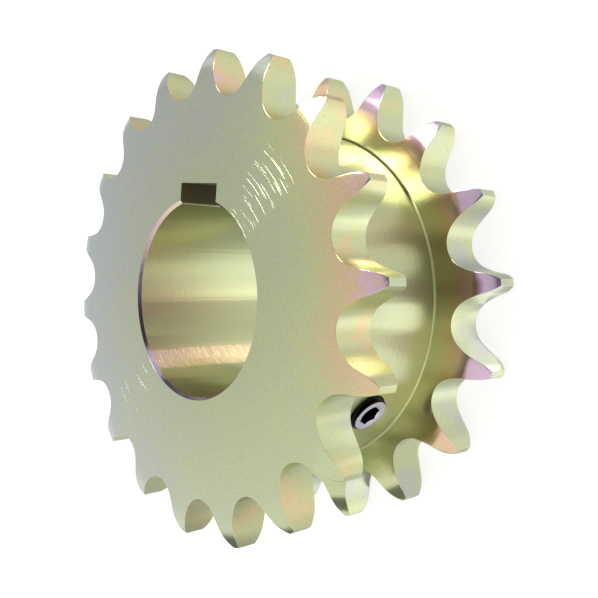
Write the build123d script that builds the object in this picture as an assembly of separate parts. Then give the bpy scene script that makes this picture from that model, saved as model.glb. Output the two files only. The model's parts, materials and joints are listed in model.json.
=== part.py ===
from build123d import *

import os
from math import acos, atan2, cos, degrees, hypot, pi, radians, sin, tan

# Double-single roller chain sprocket: two rows of teeth on one keyed hub, for two simplex chains
# that run side by side, held on its shaft by a parallel key and a socket set screw.
# Millimetres. The origin is the bore's centre on the rear row's outer face, +Z runs along the
# bore towards the front row, and +Y points at the keyway and at the tooth above it.

# Chain that the teeth are cut for
PITCH = 15.875  # pin to pin
ROLLER_D = 10.16

# Toothed rows
TEETH = 18
ROW_WIDTH = 8.4
OVERALL_WIDTH = 40.0  # outer face to outer face
RELIEF_DEPTH = 2.1  # axial, at the tooth tips
RELIEF_HEIGHT = 6.2  # radial, from the tips to where the relief leaves the face
RELIEF_BEND = 2.8  # radial, from the tips to where the relief's end tangents cross

# Hub
LINK_PLATE_CLEARANCE = 0.58  # radial, from the chain's link plates to the hub
HUB_CORNER = 0.4  # left in the corners between hub and rows by the turning tool's nose

# Bore and keyway
BORE_D = 40.0
BORE_CHAMFER = 0.6
KEY_WIDTH = 12.0
KEY_DEPTH = 3.3  # above the bore's crown

# Set screw and its hole
THREAD_D = 8.0
THREAD_CLEARANCE = 0.05  # radial
HOLE_CHAMFER = 0.35
SCREW_ANGLE = 120.0  # from the keyway, clockwise as seen from the front
SCREW_STAND = 1.1  # the screw's head end above the hub
SCREW_BACK_OFF = 1.6  # the screw's point short of the bore
SCREW_CHAMFER = 0.35
SOCKET_AF = 4.0  # across the hexagon's flats
SOCKET_DEPTH = 5.0
CUP_D = 5.0
CUP_ANGLE = 120.0  # included angle of the point's cone

# Tooth form of the roller chain standard. Shares are of the roller's diameter, except TIP_SHARE.
SEAT_SHARE = 0.5025  # seating curve's radius
WORKING_SHARE = 1.3025  # working curve's radius
FORM_ALLOWANCE = 0.0381  # mm, added to both radii
WORKING_OFFSET_SHARE = 0.8  # roller centre to the working curve's centre
TOPPING_OFFSET_SHARE = 1.4  # roller centre to the topping curve's centre
TIP_SHARE = 0.6  # of the pitch, in the tip diameter
SEAT_ANGLE = 35.0 + 60.0 / TEETH  # degrees, to the end of the seating curve
WORKING_ANGLE = 18.0 - 56.0 / TEETH  # turn of the working curve
TOPPING_LEAN = 17.0 - 64.0 / TEETH  # topping centre off the flat's normal

CUT_MARGIN = 1.0  # how far a cutter runs past what it cuts
SAME_PLACE = 0.01  # two points nearer than this are one

# Worked out from the sizes above
TOOTH_ANGLE = 360 / TEETH
HALF_PITCH_ANGLE = pi / TEETH
PITCH_R = PITCH / (2 * sin(HALF_PITCH_ANGLE))
TIP_R = PITCH * (TIP_SHARE + 1 / tan(HALF_PITCH_ANGLE)) / 2
HUB_R = PITCH * (1 / tan(HALF_PITCH_ANGLE) - 1) / 2 - LINK_PLATE_CLEARANCE
BORE_R = BORE_D / 2
KEY_TOP = BORE_R + KEY_DEPTH
THREAD_R = THREAD_D / 2
SCREW_R = THREAD_R - THREAD_CLEARANCE
SCREW_HEAD_R = HUB_R + SCREW_STAND
SCREW_POINT_R = BORE_R + SCREW_BACK_OFF


def meets_tip_circle(centre, radius):
    """Angle from +X, in degrees, at which a curve about this centre crosses the tip circle."""
    reach = hypot(centre.X, centre.Y)
    at_centre = acos((radius**2 + reach**2 - TIP_R**2) / (2 * radius * reach))
    return degrees(atan2(-centre.Y, -centre.X) - at_centre) % 360


def tooth_gap():
    """One gap between two teeth, on the +Y axis: seating, working, flat and topping curves."""
    roller = Vector(0, PITCH_R)
    seat_r = SEAT_SHARE * ROLLER_D + FORM_ALLOWANCE
    working_r = WORKING_SHARE * ROLLER_D + FORM_ALLOWANCE
    working_offset = WORKING_OFFSET_SHARE * ROLLER_D
    topping_offset = TOPPING_OFFSET_SHARE * ROLLER_D

    seat, turn, lean = radians(SEAT_ANGLE), radians(WORKING_ANGLE), radians(TOPPING_LEAN)
    working_centre = roller + Vector(-cos(seat), sin(seat)) * working_offset
    topping_centre = roller + Vector(cos(HALF_PITCH_ANGLE), -sin(HALF_PITCH_ANGLE)) * topping_offset
    flat_length = topping_offset * sin(lean) - working_offset * sin(turn)
    flat_way = Vector(sin(seat - turn), cos(seat - turn))
    topping_r = working_offset * cos(turn) + topping_offset * cos(lean) - working_r
    topping_start = 180 - (SEAT_ANGLE - WORKING_ANGLE)
    topping_turn = meets_tip_circle(topping_centre, topping_r) - topping_start

    with BuildSketch() as gap:
        with BuildLine():
            CenterArc(roller, seat_r, -90, 90 - SEAT_ANGLE)
            working = CenterArc(working_centre, working_r, -SEAT_ANGLE, WORKING_ANGLE)
            Line(working @ 1, working @ 1 + flat_way * flat_length)
            topping = CenterArc(topping_centre, topping_r, topping_start, topping_turn)
            corner = topping @ 1
            outside = corner * ((TIP_R + CUT_MARGIN) / corner.Y)
            Polyline(corner, outside, (0, outside.Y))
            mirror(about=Plane.YZ)
        make_face()
    return gap.sketch


def side_relief(face_z, inward):
    """Side relief of a row's teeth, curving from the flat face out to the tip circle."""
    start = (TIP_R - RELIEF_HEIGHT, face_z)
    bend = (TIP_R - RELIEF_BEND, face_z)
    end = (TIP_R, face_z + inward * RELIEF_DEPTH)
    return Bezier(start, bend, end)


def turned_section():
    """Half section of the turned blank: X is the radius and Y the place along the bore."""
    front_inner = OVERALL_WIDTH - ROW_WIDTH
    with BuildSketch(Plane.XZ) as section:
        with BuildLine():
            mouth = BORE_R + BORE_CHAMFER
            rear_out = side_relief(0, 1)
            rear_in = side_relief(ROW_WIDTH, -1)
            front_in = side_relief(front_inner, 1)
            front_out = side_relief(OVERALL_WIDTH, -1)
            Line((mouth, 0), rear_out @ 0)
            Line(rear_out @ 1, rear_in @ 1)
            Polyline(rear_in @ 0, (HUB_R, ROW_WIDTH), (HUB_R, front_inner), front_in @ 0)
            Line(front_in @ 1, front_out @ 1)
            Polyline(
                front_out @ 0,
                (mouth, OVERALL_WIDTH),
                (BORE_R, OVERALL_WIDTH - BORE_CHAMFER),
                (BORE_R, BORE_CHAMFER),
                (mouth, 0),
            )
        make_face()
        corners = section.vertices().filter_by_position(Axis.X, HUB_R - SAME_PLACE, HUB_R + SAME_PLACE)
        chamfer(corners, HUB_CORNER)
    return section.sketch


def across_screw(radius):
    """Plane across the set screw's axis at this radius, facing outwards from the hub."""
    way = Vector(0, 1).rotate(Axis.Z, -SCREW_ANGLE)
    return Plane(origin=way * radius + Vector(0, 0, OVERALL_WIDTH / 2), x_dir=(0, 0, 1), z_dir=way)


def sprocket_body():
    """The toothed body: the turned blank, with its tooth gaps, keyway and tapped hole cut."""
    below = Plane.XY.offset(-CUT_MARGIN)
    cut_length = OVERALL_WIDTH + 2 * CUT_MARGIN
    upwards = (Align.CENTER, Align.CENTER, Align.MIN)
    sink_r = THREAD_R + HOLE_CHAMFER + CUT_MARGIN
    with BuildPart() as body:
        add(turned_section())
        revolve(axis=Axis.Z)

        with BuildSketch(below):
            with PolarLocations(0, TEETH, start_angle=TOOTH_ANGLE / 2):
                add(tooth_gap())
        extrude(amount=cut_length, mode=Mode.SUBTRACT)

        with BuildSketch(below):
            Rectangle(KEY_WIDTH, KEY_TOP, align=(Align.CENTER, Align.MIN))
        extrude(amount=cut_length, mode=Mode.SUBTRACT)

        with BuildSketch(across_screw(0)):
            Circle(THREAD_R)
        extrude(amount=HUB_R + CUT_MARGIN, mode=Mode.SUBTRACT)
        with Locations(across_screw(HUB_R - HOLE_CHAMFER)):
            Cone(THREAD_R, sink_r, sink_r - THREAD_R, align=upwards, mode=Mode.SUBTRACT)
    return body.part


def set_screw():
    """Socket set screw with a cup point, its thread left as a plain shank."""
    with BuildPart() as screw:
        with BuildSketch(across_screw(SCREW_POINT_R)):
            Circle(SCREW_R)
        extrude(amount=SCREW_HEAD_R - SCREW_POINT_R)
        chamfer(screw.edges().filter_by(GeomType.CIRCLE), SCREW_CHAMFER)
        with BuildSketch(across_screw(SCREW_HEAD_R)):
            RegularPolygon(SOCKET_AF / 2, 6, major_radius=False)
        extrude(amount=-SOCKET_DEPTH, mode=Mode.SUBTRACT)
        cup_depth = CUP_D / 2 / tan(radians(CUP_ANGLE / 2))
        with Locations(across_screw(SCREW_POINT_R)):
            upwards = (Align.CENTER, Align.CENTER, Align.MIN)
            Cone(CUP_D / 2, 0, cup_depth, align=upwards, mode=Mode.SUBTRACT)
    return screw.part


os.makedirs("parts", exist_ok=True)
export_step(sprocket_body(), "parts/sprocket_body.step")
export_step(set_screw(), "parts/set_screw.step")
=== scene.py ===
import json
import logging
from collections.abc import Callable
from dataclasses import dataclass, field
from enum import Enum
from math import acos, atan2, cos, hypot, pi, radians, sin, sqrt, tan

import bmesh
import bpy
from mathutils import Matrix, Vector

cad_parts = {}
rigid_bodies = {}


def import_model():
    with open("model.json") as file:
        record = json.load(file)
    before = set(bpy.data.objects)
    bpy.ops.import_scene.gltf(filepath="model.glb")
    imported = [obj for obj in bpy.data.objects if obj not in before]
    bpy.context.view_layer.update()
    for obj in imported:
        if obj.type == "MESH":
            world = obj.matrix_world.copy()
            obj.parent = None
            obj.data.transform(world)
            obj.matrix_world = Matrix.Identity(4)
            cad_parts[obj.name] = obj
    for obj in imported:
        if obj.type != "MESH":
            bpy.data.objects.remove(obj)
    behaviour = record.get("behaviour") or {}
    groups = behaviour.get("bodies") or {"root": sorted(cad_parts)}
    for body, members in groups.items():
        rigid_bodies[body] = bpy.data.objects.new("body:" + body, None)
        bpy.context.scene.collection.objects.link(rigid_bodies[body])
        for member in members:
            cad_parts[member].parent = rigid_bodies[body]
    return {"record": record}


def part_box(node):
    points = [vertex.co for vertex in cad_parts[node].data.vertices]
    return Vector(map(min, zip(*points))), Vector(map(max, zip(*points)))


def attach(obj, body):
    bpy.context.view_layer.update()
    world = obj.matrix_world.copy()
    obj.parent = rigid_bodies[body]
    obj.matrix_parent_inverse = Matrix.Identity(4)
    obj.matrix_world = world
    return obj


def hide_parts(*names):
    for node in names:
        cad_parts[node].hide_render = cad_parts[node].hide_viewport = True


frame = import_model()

# Double-single roller chain sprocket: two rows of teeth turned and cut from one bar with the hub
# between them, bored and keyed for a shaft, zinc plated and yellow passivated, with its set screw.
# Sizes are in millimetres until a mesh is made, and MM turns them to metres. +Z runs along the
# bore, and +Y points at the keyway.

log = logging.getLogger("sprocket")

MM = 0.001
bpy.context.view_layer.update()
BODY_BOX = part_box("sprocket_body")
SCREW_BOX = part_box("set_screw")
MIDDLE = 20.0  # height of the sprocket's middle
MEAN_RADIUS = 30.0  # where a pattern round the axis has its true size, and a drift outwards is nought
DRIFT_OVER = 50.0  # the distance that a drift of film or level is given over
BAND_TWIST = 0.012  # how far a band moves on through its noise per millimetre along the bore
RIM_REACH = 0.2  # how near its radius a rim's edges are looked for
FAR = 99.0  # further off than any edge
SQUARE = 0.9  # a normal's share along an axis from which on its face is square to that axis
SIDES = 96  # how many sides a round form has
QUARTER_TURN = 0.25  # sets the stretched highlight square to the marks
NOISE_MIDDLE = 0.5  # the level that a noise lies round
SOFT_NOISE = {"Scale": 1.0, "Detail": 3.0, "Roughness": 0.6}
WHITE = "#ffffff"


class Part(Enum):
    """The CAD node that a modelled piece stands for."""

    BODY = "sprocket_body"
    SCREW = "set_screw"


class Slot(Enum):
    """The record's material slots."""

    PLATED = "plated_steel"
    BLACK = "black_steel"


# ----------------------------------------------------------------------------- modelling bench


def close() -> None:
    """Leave edit mode."""
    bpy.ops.object.mode_set(mode="OBJECT")


def deselect_all() -> None:
    """Leave nothing selected, because an operator acts on all that is."""
    if bpy.context.object and bpy.context.object.mode != "OBJECT":
        close()
    bpy.ops.object.select_all(action="DESELECT")


def take(piece: bpy.types.Object) -> bpy.types.Object:
    """Select one object alone and make it active.

    Args:
        piece: The object that the next operators act on.

    Returns:
        The same object.
    """
    deselect_all()
    piece.select_set(True)
    bpy.context.view_layer.objects.active = piece
    return piece


def edit(piece: bpy.types.Object, kind: str = "VERT") -> None:
    """Open an object for editing.

    Args:
        piece: The object to edit.
        kind: What is picked in edit mode: VERT, EDGE or FACE.
    """
    take(piece)
    bpy.ops.object.mode_set(mode="EDIT")
    bpy.ops.mesh.select_mode(type=kind)
    bpy.ops.mesh.select_all(action="DESELECT")


def pick(test: Callable, kind: str = "verts") -> int:
    """Select what passes a test in the mesh under edit, and nothing else.

    Args:
        test: Takes a bmesh vertex, edge or face and says whether it is picked.
        kind: What is tested: verts, edges or faces.

    Returns:
        How many were picked.
    """
    mesh = bpy.context.object.data
    shape = bmesh.from_edit_mesh(mesh)
    for group in (shape.verts, shape.edges, shape.faces):
        for item in group:
            item.select = False
    picked = [item for item in getattr(shape, kind) if test(item)]
    for item in picked:
        item.select_set(True)
    shape.select_flush_mode()
    bmesh.update_edit_mesh(mesh)
    return len(picked)


def pick_all() -> None:
    """Select the whole mesh under edit."""
    bpy.ops.mesh.select_all(action="SELECT")


def extrude(by: Vector | tuple) -> None:
    """Extrude what is selected by a distance in metres."""
    bpy.ops.mesh.extrude_region_move(TRANSFORM_OT_translate={"value": by})


def begin(operator: Callable, name: str, **sizes: float | int | str | tuple) -> bpy.types.Object:
    """Add a primitive with nothing else selected.

    Args:
        operator: The operator that adds it.
        name: The object's name.
        sizes: What the operator is given.

    Returns:
        The new object.
    """
    deselect_all()
    operator(**sizes)
    bpy.context.object.name = name
    return bpy.context.object


def near(point: Vector, reach: float = 0.002) -> Callable:
    """A test for vertices within a reach, in millimetres, of a point in metres."""
    return lambda vertex: (vertex.co - point).length < reach * MM


def first_vertex(name: str, place: Vector) -> bpy.types.Object:
    """Start a mesh from one vertex, left open for editing.

    Args:
        name: The object's name.
        place: The vertex's place, in metres.

    Returns:
        The new object.
    """
    started = begin(bpy.ops.mesh.primitive_circle_add, name, vertices=3, radius=MM)
    edit(started)
    pick_all()
    bpy.ops.mesh.merge(type="CENTER")
    bpy.ops.transform.translate(value=place)
    return started


def sweep(centre: Vector, angle: float, steps: int) -> None:
    """Carry the selected vertex round a centre on an arc about +Z, with an edge for each step."""
    bpy.ops.mesh.spin(steps=steps, dupli=False, angle=-angle, center=centre, axis=(0, 0, 1))


def spin_round(steps: int, copies: bool, merge: float) -> None:
    """Spin the whole mesh once round +Z and leave edit mode.

    Args:
        steps: How many steps make the turn.
        copies: Whether each step is a copy, and not a face swept on.
        merge: Distance in millimetres within which vertices become one.
    """
    pick_all()
    bpy.ops.mesh.spin(
        steps=steps, dupli=copies, angle=2 * pi, center=(0, 0, 0), axis=(0, 0, 1), use_auto_merge=True
    )
    pick_all()
    bpy.ops.mesh.remove_doubles(threshold=merge * MM)
    close()


def discard(piece: bpy.types.Object) -> None:
    """Delete a piece that has done its work."""
    take(piece)
    bpy.ops.object.delete()


def apply_all(piece: bpy.types.Object) -> None:
    """Apply every modifier of a piece, in order.

    Args:
        piece: The object.
    """
    take(piece)
    for modifier in list(piece.modifiers):
        bpy.ops.object.modifier_apply(modifier=modifier.name)


def join(pieces: list[bpy.types.Object], name: str) -> bpy.types.Object:
    """Join pieces into one mesh.

    Args:
        pieces: The objects to join, which then are gone.
        name: The name of what is left.

    Returns:
        The joined object.
    """
    take(pieces[0])
    for piece in pieces[1:]:
        piece.select_set(True)
    bpy.ops.object.join()
    joined = bpy.context.object
    joined.name = name
    joined.data.name = name
    return joined


def copy_of(piece: bpy.types.Object, name: str) -> bpy.types.Object:
    """Copy a piece with its own mesh.

    Args:
        piece: The object to copy.
        name: The copy's name.

    Returns:
        The copy.
    """
    take(piece)
    bpy.ops.object.duplicate(linked=False)
    bpy.context.object.name = name
    return bpy.context.object


def settle(piece: bpy.types.Object) -> None:
    """Put a piece's place, turn and scale into its mesh."""
    take(piece)
    bpy.ops.object.transform_apply(location=True, rotation=True, scale=True)


def cut(piece: bpy.types.Object, cutter: bpy.types.Object, operation: str = "DIFFERENCE") -> None:
    """Cut a piece with another solid, which then is gone.

    Args:
        piece: The solid that stays.
        cutter: The solid that is taken from it, or kept in common with it.
        operation: DIFFERENCE, INTERSECT or UNION.
    """
    take(piece)
    modifier = piece.modifiers.new("cut", "BOOLEAN")
    modifier.operation = operation
    modifier.solver = "EXACT"
    modifier.object = cutter
    bpy.ops.object.modifier_apply(modifier=modifier.name)
    discard(cutter)


def cylinder(name: str, radius: float, low: float, high: float, sides: int = SIDES) -> bpy.types.Object:
    """Add a cylinder along +Z.

    Args:
        name: The object's name.
        radius: Its radius, in millimetres.
        low: Height of its lower end, in millimetres.
        high: Height of its upper end, in millimetres.
        sides: How many sides it has.

    Returns:
        The cylinder.
    """
    made = begin(
        bpy.ops.mesh.primitive_cylinder_add,
        name,
        vertices=sides,
        radius=radius * MM,
        depth=(high - low) * MM,
        location=(0, 0, (low + high) / 2 * MM),
    )
    settle(made)
    return made


# ------------------------------------------------------------------------------------ finishes


def linear(code: str) -> tuple[float, float, float, float]:
    """Turn an sRGB hex colour such as "#aab09a" to Blender's linear colour."""
    shares = (int(code[i : i + 2], 16) / 255 for i in (1, 3, 5))
    return (*(c / 12.92 if c <= 0.04045 else ((c + 0.055) / 1.055) ** 2.4 for c in shares), 1.0)


def add(
    tree: bpy.types.NodeTree, kind: str, settings: dict | None = None, links: dict | None = None
) -> bpy.types.Node:
    """Add a shader node with its settings and links.

    Args:
        tree: The node tree that gets it.
        kind: The node's type, without ShaderNode.
        settings: Attributes by name, and unlinked inputs by name or number.
        links: Inputs by name or number, each with the output that feeds it.

    Returns:
        The new node.
    """
    node = tree.nodes.new("ShaderNode" + kind)
    for key, value in (settings or {}).items():
        if isinstance(key, str) and hasattr(node, key):
            setattr(node, key, value)
        else:
            node.inputs[key].default_value = value
    for key, source in (links or {}).items():
        tree.links.new(source, node.inputs[key])
    return node


def total(tree: bpy.types.NodeTree, start: float, terms: list[tuple]) -> bpy.types.NodeSocket:
    """Add weighted terms to a starting value.

    Args:
        tree: The node tree.
        start: The value before any term.
        terms: Pairs of an output and its weight.

    Returns:
        The output that holds the sum.
    """
    value = start
    for source, weight in terms:
        node = add(tree, "Math", {"operation": "MULTIPLY_ADD", 1: weight}, {0: source})
        if isinstance(value, float):
            node.inputs[2].default_value = value
        else:
            tree.links.new(value, node.inputs[2])
        value = node.outputs[0]
    return value


def eased(low: float, high: float) -> dict:
    """Settings for a map range that eases from 0 at one value to 1 at another."""
    return {"interpolation_type": "SMOOTHSTEP", "From Min": low, "From Max": high}


def blank_material(name: str) -> bpy.types.Material:
    """Start a material with an empty node tree.

    Args:
        name: The material's name.

    Returns:
        The material.
    """
    material = bpy.data.materials.new(name)
    material.use_nodes = True
    material.node_tree.nodes.clear()
    return material


def set_stops(ramp: bpy.types.Node, stops: list[tuple[float, tuple]]) -> bpy.types.NodeSocket:
    """Give a colour ramp its stops.

    Args:
        ramp: The colour ramp.
        stops: Each stop's place from 0 to 1 and its linear colour.

    Returns:
        The output with the colour.
    """
    elements = ramp.color_ramp.elements
    while len(elements) < len(stops):
        elements.new(0.5)  # anywhere, because it is moved below
    for element, (place, colour) in zip(elements, stops):
        element.position = place
        element.color = colour
    return ramp.outputs["Color"]


class Lay(Enum):
    """Which way a cutting tool's marks run."""

    RINGS_ON_FACE = "round the axis, spaced along the radius"
    RINGS_ON_WALL = "round the axis, spaced along the bore"
    ALONG_BORE = "along the bore"


@dataclass(frozen=True)
class Film:
    """Colours of the passivate film from thin to thick, as interference tints the zinc."""

    stops: tuple[tuple[float, str], ...] = (
        (0.00, "#a3acb0"),
        (0.16, "#a8aba4"),
        (0.34, "#acb394"),
        (0.50, "#b1b58a"),
        (0.62, "#bbb086"),
        (0.72, "#c4aa8a"),
        (0.82, "#c6aab0"),
        (0.92, "#b6a0b8"),
        (1.00, "#9aa2ba"),
    )

    def colour(self, tree: bpy.types.NodeTree, thickness: bpy.types.NodeSocket) -> bpy.types.NodeSocket:
        """The film's colour at a thickness from 0 to 1, from the output that holds the thickness."""
        ramp = add(tree, "ValToRGB", {}, {0: thickness})
        return set_stops(ramp, [(place, linear(code)) for place, code in self.stops])


# Painted light and shade for the bore's mouth chamfer: pale cream on the lit side, near black in the shade.
MOUTH_LIGHT_AND_SHADE = Film((
    (0.00, "#c8c2aa"),
    (0.25, "#c8b2a2"),
    (0.50, "#b09a9c"),
    (0.68, "#6b6067"),
    (0.82, "#443d45"),
    (1.00, "#272326"),
))
# Painted shade for the corner radius by the hub: dark olive at the thin end, pale at the thick end.
CORNER_SHADE = Film(((0.00, "#45462f"), (0.50, "#8f8f5c"), (1.00, "#c9cc9c")))


@dataclass(frozen=True)
class PlatedSteel:
    """Mild steel, bright zinc plated and yellow passivated: a satin metal with a tinted film.

    Sizes are in millimetres, angles in degrees and slopes in rise per run. A tinge is a thicker
    film, and so a pinker one, on one side of the sprocket and towards its edge. Tool marks are
    drawn coarser than the real ones, or they would not show. A painted highlight brightens the
    colour on one side, and the colours of the corner and the mouth paint light and shade.
    """

    name: str
    lay: Lay
    roughness: float
    anisotropy: float
    brightness: float
    thickness: float
    colours: Film = Film()
    drift: tuple[float, float, float] = (0.0, 0.0, 0.0)
    outward: float = 0.0
    brighter_outward: float = 0.0
    patch: float = 0.08
    patch_size: float = 22.0
    mottle: float = 0.05
    mottle_size: float = 1.4
    bands: float = 0.0
    bands_round: float = 3.5
    tinge: float = 0.0
    tinge_heading: float = 0.0
    tinge_full: float = 10.0
    tinge_none: float = 60.0
    tinge_from: float = 0.0
    tinge_to: float = 1.0
    mark_pitch: float = 0.5
    mark_length: float = 12.0
    mark_slope: float = 0.05
    mark_elsewhere: float = 1.0
    mark_heading: float = 0.0
    mark_full: float = 5.0
    mark_none: float = 8.0
    painted_highlight: float = 0.0
    scratch_slope: float = 0.0
    scratch_width: float = 0.3
    scratch_length: float = 4.0
    scratch_from: float = 0.60
    scratch_ease: float = 0.12
    scratch_heading: float = 41.0
    scratch_full: float = 4.0
    scratch_none: float = 12.0
    scratch_inside: float = 38.0
    scratch_fade: float = 4.0
    chatter_round: float = 7.0
    chatter_slope: float = 0.0
    grain_size: float = 0.30
    grain_slope: float = 0.02
    speckle: float = 0.10
    pits: float = 0.0
    pit_size: float = 0.5
    pits_from: float = 0.68
    pits_to: float = 0.76

    def film(self, tree: bpy.types.NodeTree, place: dict) -> bpy.types.NodeSocket:
        """The film's colour over the surface.

        Args:
            tree: The node tree.
            place: Outputs that give the place on the sprocket, from locate().

        Returns:
            The output with the colour.
        """
        point = place["point"]
        terms = []
        for size, share in ((self.patch_size, self.patch), (self.mottle_size, self.mottle)):
            cloud = add(tree, "TexNoise", {"Scale": 1 / size, "Detail": 2.0}, {"Vector": point})
            terms.append((cloud.outputs[0], 2 * share))
        drift = add(tree, "VectorMath", {"operation": "DOT_PRODUCT", 1: self.drift}, {0: point})
        terms.append((drift.outputs["Value"], 1 / DRIFT_OVER))
        terms.append((place["radius"], self.outward / DRIFT_OVER))
        start = self.thickness - self.patch - self.mottle - self.outward * MEAN_RADIUS / DRIFT_OVER
        # colour bands round the axis, nearly the same along it: part film tint and part painted reflection of
        # bands of light
        if self.bands:
            around = round_axis(tree, place, self.bands_round)
            along = add(tree, "CombineXYZ", {}, {"Z": place["z"]}).outputs[0]
            twist = {"operation": "SCALE", "Scale": BAND_TWIST}
            along = add(tree, "VectorMath", twist, {0: along}).outputs[0]
            where = add(tree, "VectorMath", {"operation": "ADD"}, {0: around, 1: along}).outputs[0]
            bands = add(tree, "TexNoise", SOFT_NOISE, {"Vector": where}).outputs[0]
            terms.append((bands, 2 * self.bands))
            start -= self.bands
        if self.tinge:
            share = sector(tree, place, self.tinge_heading, self.tinge_full, self.tinge_none)
            rise = eased(self.tinge_from, self.tinge_to)
            rise = add(tree, "MapRange", rise, {"Value": place["radius"]})
            both = add(tree, "Math", {"operation": "MULTIPLY"}, {0: rise.outputs[0], 1: share})
            terms.append((both.outputs[0], self.tinge))
        tint = self.colours.colour(tree, total(tree, start, terms))
        grain = add(tree, "TexNoise", {"Scale": 1 / self.grain_size, "Detail": 2.0}, {"Vector": point})
        levels = [(grain.outputs[0], 2 * self.brightness * self.speckle)]
        if self.pits:
            spots = add(tree, "TexNoise", {"Scale": 1 / self.pit_size, "Detail": 1.0}, {"Vector": point})
            deep = add(tree, "MapRange", eased(self.pits_from, self.pits_to), {"Value": spots.outputs[0]})
            levels.append((deep.outputs[0], -self.brightness * self.pits))
        # a painted highlight: the colour is brighter on one side round the axis
        if self.painted_highlight:
            share = sector(tree, place, self.mark_heading, self.mark_full, self.mark_none)
            levels.append((share, self.brightness * self.painted_highlight))
        outward = self.brightness * self.brighter_outward / DRIFT_OVER
        levels.append((place["radius"], outward))
        level = total(tree, self.brightness * (1 - self.speckle) - outward * MEAN_RADIUS, levels)
        return add(tree, "VectorMath", {"operation": "SCALE"}, {0: tint, "Scale": level}).outputs[0]

    def track(
        self, tree: bpy.types.NodeTree, place: dict, pitch: float, length: float
    ) -> bpy.types.NodeSocket:
        """Coordinates for marks that run along the lay.

        Args:
            tree: The node tree.
            place: Outputs that give the place on the sprocket, from locate().
            pitch: Distance between marks.
            length: How far a mark runs.

        Returns:
            The output with the coordinates, one unit to a mark each way.
        """
        if self.lay is Lay.ALONG_BORE:
            stretch = {"operation": "MULTIPLY", 1: (1 / pitch, 1 / pitch, 1 / length)}
            return add(tree, "VectorMath", stretch, {0: place["point"]}).outputs[0]
        around = round_axis(tree, place, MEAN_RADIUS / length)
        across = place["radius"] if self.lay is Lay.RINGS_ON_FACE else place["z"]
        lane = add(tree, "Math", {"operation": "DIVIDE", 1: pitch}, {0: across}).outputs[0]
        lane = add(tree, "CombineXYZ", {}, {"Z": lane}).outputs[0]
        return add(tree, "VectorMath", {"operation": "ADD"}, {0: around, 1: lane}).outputs[0]

    def relief(self, tree: bpy.types.NodeTree, place: dict) -> bpy.types.NodeSocket:
        """The tool's marks, scratches and the plating's grain.

        Marks that stand out on one side are centred on 0 first, or that side's edge would show.

        Args:
            tree: The node tree.
            place: Outputs that give the place on the sprocket, from locate().

        Returns:
            The output with the bent normal.
        """
        fine = {"Scale": 1.0, "Detail": 2.0, "Roughness": 0.6}
        track = self.track(tree, place, self.mark_pitch, self.mark_length)
        marks = add(tree, "TexNoise", fine, {"Vector": track}).outputs[0]
        if self.mark_elsewhere != 1.0:
            share = sector(tree, place, self.mark_heading, self.mark_full, self.mark_none)
            share = total(tree, self.mark_elsewhere, [(share, 1 - self.mark_elsewhere)])
            marks = total(tree, -NOISE_MIDDLE, [(marks, 1.0)])
            marks = add(tree, "Math", {"operation": "MULTIPLY"}, {0: marks, 1: share}).outputs[0]
        point = place["point"]
        grain = add(tree, "TexNoise", {"Scale": 1 / self.grain_size, "Detail": 2.0}, {"Vector": point})
        terms = [
            (marks, self.mark_slope * self.mark_pitch),
            (grain.outputs[0], self.grain_slope * self.grain_size),
        ]
        if self.scratch_slope:
            track = self.track(tree, place, 2 * self.scratch_width, self.scratch_length)
            scratches = add(tree, "TexNoise", {"Scale": 1.0, "Detail": 1.0}, {"Vector": track})
            few = eased(self.scratch_from, self.scratch_from + self.scratch_ease)
            few = add(tree, "MapRange", few, {"Value": scratches.outputs[0]})
            where = sector(tree, place, self.scratch_heading, self.scratch_full, self.scratch_none, both=True)
            inside = {"From Min": self.scratch_inside, "From Max": self.scratch_inside - self.scratch_fade}
            inside = add(tree, "MapRange", inside, {"Value": place["radius"]})
            where = add(tree, "Math", {"operation": "MULTIPLY"}, {0: where, 1: inside.outputs[0]})
            few = add(tree, "Math", {"operation": "MULTIPLY"}, {0: few.outputs[0], 1: where.outputs[0]})
            terms.append((few.outputs[0], self.scratch_slope * self.scratch_width))
        if self.chatter_slope:
            around = round_axis(tree, place, self.chatter_round)
            chatter = add(tree, "TexNoise", SOFT_NOISE, {"Vector": around}).outputs[0]
            terms.append((chatter, self.chatter_slope * MEAN_RADIUS / self.chatter_round))
        height = total(tree, 0.0, terms)
        return add(tree, "Bump", {"Strength": 1.0, "Distance": MM}, {"Height": height}).outputs[0]

    def material(self) -> bpy.types.Material:
        """Make the finish as a material.

        Returns:
            The material.
        """
        material = blank_material(self.name)
        tree = material.node_tree
        place = locate(tree)
        shader = add(
            tree,
            "BsdfPrincipled",
            {"Metallic": 1.0, "Roughness": self.roughness, "Anisotropic": self.anisotropy},
            {"Base Color": self.film(tree, place), "Normal": self.relief(tree, place)},
        )
        if self.lay is not Lay.ALONG_BORE:
            shader.inputs["Anisotropic Rotation"].default_value = QUARTER_TURN
            tangent = add(tree, "Tangent", {"direction_type": "RADIAL", "axis": "Z"})
            tree.links.new(tangent.outputs[0], shader.inputs["Tangent"])
        add(tree, "OutputMaterial", {}, {"Surface": shader.outputs[0]})
        return material


def round_axis(tree: bpy.types.NodeTree, place: dict, radius: float) -> bpy.types.NodeSocket:
    """Coordinates that go round the axis on a circle of a given radius, in the pattern's units."""
    circle = {"operation": "SCALE", "Scale": radius}
    return add(tree, "VectorMath", circle, {0: place["way"]}).outputs[0]


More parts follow.
